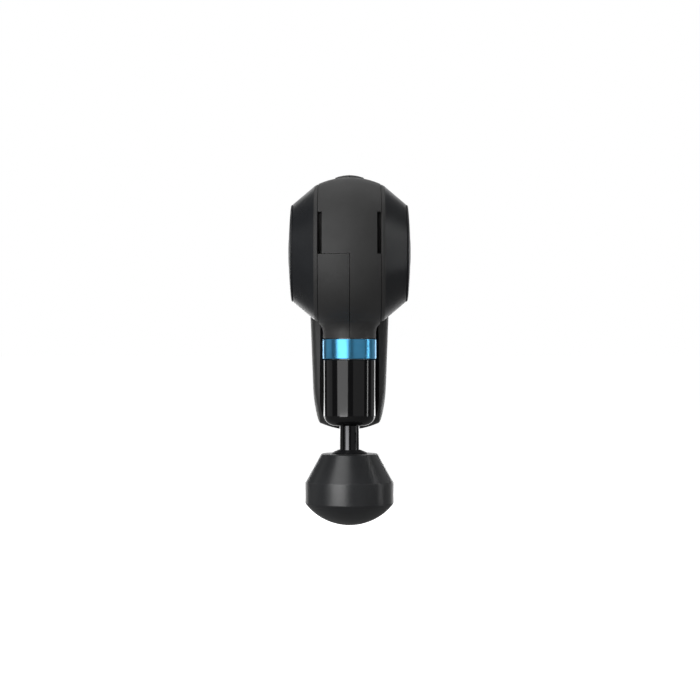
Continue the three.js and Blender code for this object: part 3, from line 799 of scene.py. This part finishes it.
def build_battery_case():
    """The thin sleeve round the cells, open to the end cap."""
    case = cell_pair("battery_sleeve", BATTERY_RADIUS, 47, 113.6)
    cut(case, cell_pair("inside", BATTERY_RADIUS - 0.8, 48, 115))
    dress(case, "battery", "black_insert", "battery_case")


def build_end_cap():
    """The rear end of the top bar, which draws out with the battery."""
    end = keep(loop(), block((-FAR, END_PLANE + GAP / 2, -FAR), (FAR, FAR, FAR)))
    end.name = "end_cap"
    cut(end, block((-15, END_PLANE, 2), (15, 120, 31)), latch_span(GAP, -FAR, FAR))
    dress(end, "battery", "housing", "battery_end_cap")


def build_latch(name, side):
    """A latch button with four grooves across its face and a flange behind it."""
    key = keep(latch_span(0, *across(side, 13.7, 40)), loop(0, 120, 7))
    for k in range(4):
        z = LATCH_Z - 4.2 + 2.8 * k
        cut(key, prism("rib_cut", rectangle(1.3, 0.35, LATCH_Y, z), *across(side, 22.4, 40)))
    join(key, latch_span(0.7, *across(side, 12.5, 14.7)))
    key.name = f"latch_key_{name}"
    dress(key, f"latch_{name}", "soft_rubber", f"battery_latch_{name}")


# ------------------------------------------------------------------ arm


def arm_body():
    """Both arm shells in one: a hollow drum and neck, with a vent in the front at each side."""
    body = arm_outside(0, BAND)
    collars = [turned("collar", ring_profile(DRUM_BORE, 27, 17, 22.3), "X", side) for side in (-1, 1)]
    return cut(
        join(body, *collars),
        ball_band(DRUM_CAVITY, DRUM_CAVITY_HALF, 128),
        rod(ARM_BORE, -60, -20),
        rod(DRUM_BORE, -30, 30, "X", segments=96),
        block((16, -50, SPLIT), (BAND + 1, -30, 22.4)),
        block((-BAND - 1, -50, SPLIT), (-16, -30, 22.4)),
    )


def lower_left(grow):
    """The quarter of space that the arm's left shell fills."""
    return block((-FAR, -FAR, -FAR), (grow, FAR, SPLIT + grow))


def build_arm_shells():
    right = arm_body()
    right.name = "arm_right"
    left = keep(copy_of(right, "arm_left"), lower_left(-GAP / 2))
    cut(right, lower_left(GAP / 2))
    dress(left, "arm", "housing", "arm_shell_left")
    dress(right, "arm", "housing", "arm_shell_right")


def build_ring():
    profile = rounded(ring_profile(ARM_BORE, RING, RING_BOTTOM, RING_TOP), 0.55)
    dress(turned("blue_ring", profile, segments=128), "arm", "accent_blue", "accent_ring")


def build_barrel():
    """A tube with a rounded nose and a seat in its end for the seal."""
    nose = []
    for a in np.linspace(0, 90, 14):
        c, s = polar(1.0, a)
        nose.append((8.4 + 7.1 * c, BARREL_SHOULDER - (BARREL_SHOULDER - BARREL_NOSE) * s))
    profile = [
        (ARM_BORE, BARREL_TOP),
        (BARREL - 0.4, BARREL_TOP),
        (BARREL, BARREL_TOP - 0.4),
        *nose,
        (6.9, BARREL_NOSE),
        (6.9, BARREL_NOSE + 2.4),
        (10.4, BARREL_NOSE + 3),
        (ARM_BORE, BARREL_SHOULDER + 1),
    ]
    dress(turned("barrel_shell", profile, segments=128), "arm", "gloss_black", "barrel")


def build_release_button():
    """A round button with a finger dish, its stem and the plate's rivet."""
    dish = [(r, -CAP_FACE + 0.5 * (1 - (r / 7.5) ** 2)) for r in (0, 2, 4, 6, 7)]
    profile = [
        *dish,
        (8.4, -CAP_FACE),
        (9, -CAP_FACE + 0.6),
        (9, -33.7),
        (11, -33.7),
        (11, -32.7),
        (3.2, -32.7),
        (3.2, -25.8),
        (2.5, -25.8),
        (2.5, -23.7),
        (3.6, -23.7),
        (3.6, -23),
        (0, -23),
    ]
    key = turned("release_key", rounded(profile, 0.15, 2), "X")
    dress(key, "release", "gloss_black", "release_button")


# ------------------------------------------------------------------ percussion shaft and head


def build_shaft():
    """The rod, with a groove near its tip for the O-ring and a cross hole for the yoke's pin."""
    profile = [
        (0, SHAFT_TIP),
        (SHAFT, SHAFT_TIP),
        (SHAFT, O_RING - 1.1),
        (4.2, O_RING - 1.1),
        (4.2, O_RING + 1.1),
        (SHAFT, O_RING + 1.1),
        (SHAFT, SHAFT_TOP),
        (0, SHAFT_TOP),
    ]
    shaft = turned("shaft_rod", rounded(profile, 0.4), segments=96)
    cross_hole = rod(1.8, -12, 12, "X", (0, YOKE_PIN), 24)
    dress(cut(shaft, cross_hole), "percussor", "black_shaft", "percussion_shaft")


def build_head_socket():
    """The hard collar in the head's top, with a sleeve round the shaft's tip."""
    profile = [
        (SOCKET_BORE, -117.8),
        (6.7, -117.8),
        (11.4, -119.8),
        (SOCKET, -119.8),
        (SOCKET, SOCKET_END),
        (0, SOCKET_END),
        (0, SOCKET_END + 2.2),
        (SOCKET_BORE, SOCKET_END + 2.2),
    ]
    dress(turned("head_collar", rounded(profile, 0.25, 3)), "head", "head_socket", "head_socket")


def build_head():
    """A cone, a belt and a shallow dome below it, with a hole in the top for the socket."""
    rise = HEAD_BELT_LOW - HEAD_BOTTOM
    radius = (HEAD_BELT**2 + rise**2) / (2 * rise)
    reach = math.degrees(math.asin(HEAD_BELT / radius))
    dome = arc(0, HEAD_BOTTOM + radius, radius, -90, -90 + reach, 26)
    sides = [
        (0, HEAD_BOTTOM),
        dome[-3],
        (HEAD_BELT, HEAD_BELT_LOW),
        (HEAD_BELT, HEAD_BELT_HIGH),
        (17.2, HEAD_TOP - 0.4),
        (16.6, HEAD_TOP),
        (SOCKET + GAP, HEAD_TOP),
        (SOCKET + GAP, SOCKET_END - GAP),
        (0, SOCKET_END - GAP),
    ]
    profile = [*dome[:-3], *rounded(sides, 0.7, 5)[1:]]
    ball = turned("head_ball", profile, segments=160)
    dress(ball, "head", "head_foam", "massage_head", angle=40)


# ------------------------------------------------------------------ carried-over CAD nodes


def dress_cad_nodes():
    """Materials for the CAD nodes that no piece here replaces."""
    slots = {row["node"]: row["material_slot"] for row in frame["record"]["subparts"]}
    for name, node in frame["nodes"].items():
        if not node.hide_render:
            node.data.materials.clear()
            node.data.materials.append(MATERIALS[slots[name]])


# ------------------------------------------------------------------ studio


def softbox(name, bearing, height, distance, size, radiance):
    """A lamp of even radiance, `bearing` degrees round from the front towards the gun's right."""
    aim = Vector((0, ARM_HINGE["pos_m"][1], AIM_HEIGHT))
    a = math.radians(bearing)
    at = aim + Vector((distance * math.sin(a), -distance * math.cos(a), height))
    data = bpy.data.lights.new(name, "AREA")
    data.shape = "RECTANGLE"
    data.size, data.size_y = size
    data.energy = radiance * math.pi * size[0] * size[1]
    light = bpy.data.objects.new(name, data)
    light.location = at
    light.visible_camera = False
    light.rotation_euler = (aim - at).to_track_quat("-Z", "Y").to_euler()
    bpy.context.scene.collection.objects.link(light)


def seen_or_lighting(tree, seen, lighting):
    """One value where the camera sees a surface and another where the surface lights the gun."""
    path = tree.nodes.new("ShaderNodeLightPath")
    return ranged(tree, path.outputs["Is Camera Ray"], lighting, seen, 0, 1)


def build_lights():
    """Softboxes, each by its bearing, height over the aim, distance, size and radiance."""
    softbox("key", -31, 0.25, 1.0, (0.95, 1.9), 2.2)
    softbox("fill", 42, 0.1, 1.1, (1.1, 1.6), 0.3)
    softbox("strip", 87, 0.0, 0.8, (0.06, 1.2), 5.0)
    softbox("side_left", -100, 0.0, 0.9, (0.6, 1.0), 0.3)
    softbox("side_right", 125, 0.0, 0.9, (0.5, 1.0), 0.25)
    softbox("top", 180, 0.9, 0.25, (1.2, 0.8), 0.8)
    softbox("rim_left", -161, -0.03, 0.85, (0.5, 0.13), 3.0)
    softbox("rim_right", 161, -0.03, 0.85, (0.5, 0.13), 3.0)
    softbox("backdrop", 180, 0.15, 0.9, (0.9, 0.75), 0.9)
    softbox("low_back", 180, -0.12, 0.4, (0.7, 0.12), 1.0)
    softbox("card", -26, -0.082, 0.28, (0.17, 0.05), 4.5)


def build_world():
    """Surroundings that the camera sees white and the gun dark, so that it keeps its dark reflections."""
    world = bpy.data.worlds.new("studio")
    world.use_nodes = True
    tree = world.node_tree
    background = tree.nodes["Background"]
    background.inputs["Color"].default_value = (1, 1, 1, 1)
    tree.links.new(seen_or_lighting(tree, 1.0, 0.09), background.inputs["Strength"])
    bpy.context.scene.world = world


def paper():
    """White paper that looks brighter to the camera than to the gun."""
    material, tree, principled, coords = shader("paper", (0.9, 0.9, 0.9), 0.9)
    tree.links.new(seen_or_lighting(tree, 0.9, 0.25), principled.inputs["Base Color"])
    principled.inputs["Specular IOR Level"].default_value = 0.0
    principled.inputs["Emission Color"].default_value = (1, 1, 1, 1)
    tree.links.new(seen_or_lighting(tree, 0.93, 0.0), principled.inputs["Emission Strength"])
    bumped(tree, [(noise(tree, coords, 300), 0.05, 0.0002)], principled)
    return material


def build_floor():
    corners = [(x, y, FLOOR_HEIGHT) for x, y in rectangle(FLOOR_REACH, FLOOR_REACH)]
    mesh = bpy.data.meshes.new("floor")
    mesh.from_pydata(corners, [], [(0, 1, 2, 3)])
    mesh.materials.append(paper())
    floor = bpy.data.objects.new("floor", mesh)
    bpy.context.scene.collection.objects.link(floor)


def build_camera():
    """Level, in front of the gun, a little lower than the pivot and a hair to its right."""
    data = bpy.data.cameras.new("camera")
    data.sensor_width = 36
    data.lens = data.sensor_width * CAMERA_DISTANCE / PICTURE_WIDTH
    camera = bpy.data.objects.new("camera", data)
    offset = Vector((CAMERA_ASIDE, -CAMERA_DISTANCE, -CAMERA_DROP))
    camera.location = Vector(ARM_HINGE["pos_m"]) + offset
    camera.rotation_euler = (math.pi / 2, 0, 0)
    bpy.context.scene.collection.objects.link(camera)
    bpy.context.scene.camera = camera


bpy.context.scene.view_settings.view_transform = "Standard"
build_camera()
build_lights()
build_world()
build_floor()
build_handle()
build_grip()
build_panel()
build_power_key()
build_battery_case()
build_end_cap()
build_latch("left", -1)
build_latch("right", 1)
build_arm_shells()
build_ring()
build_barrel()
build_release_button()
build_shaft()
build_head_socket()
build_head()
dress_cad_nodes()
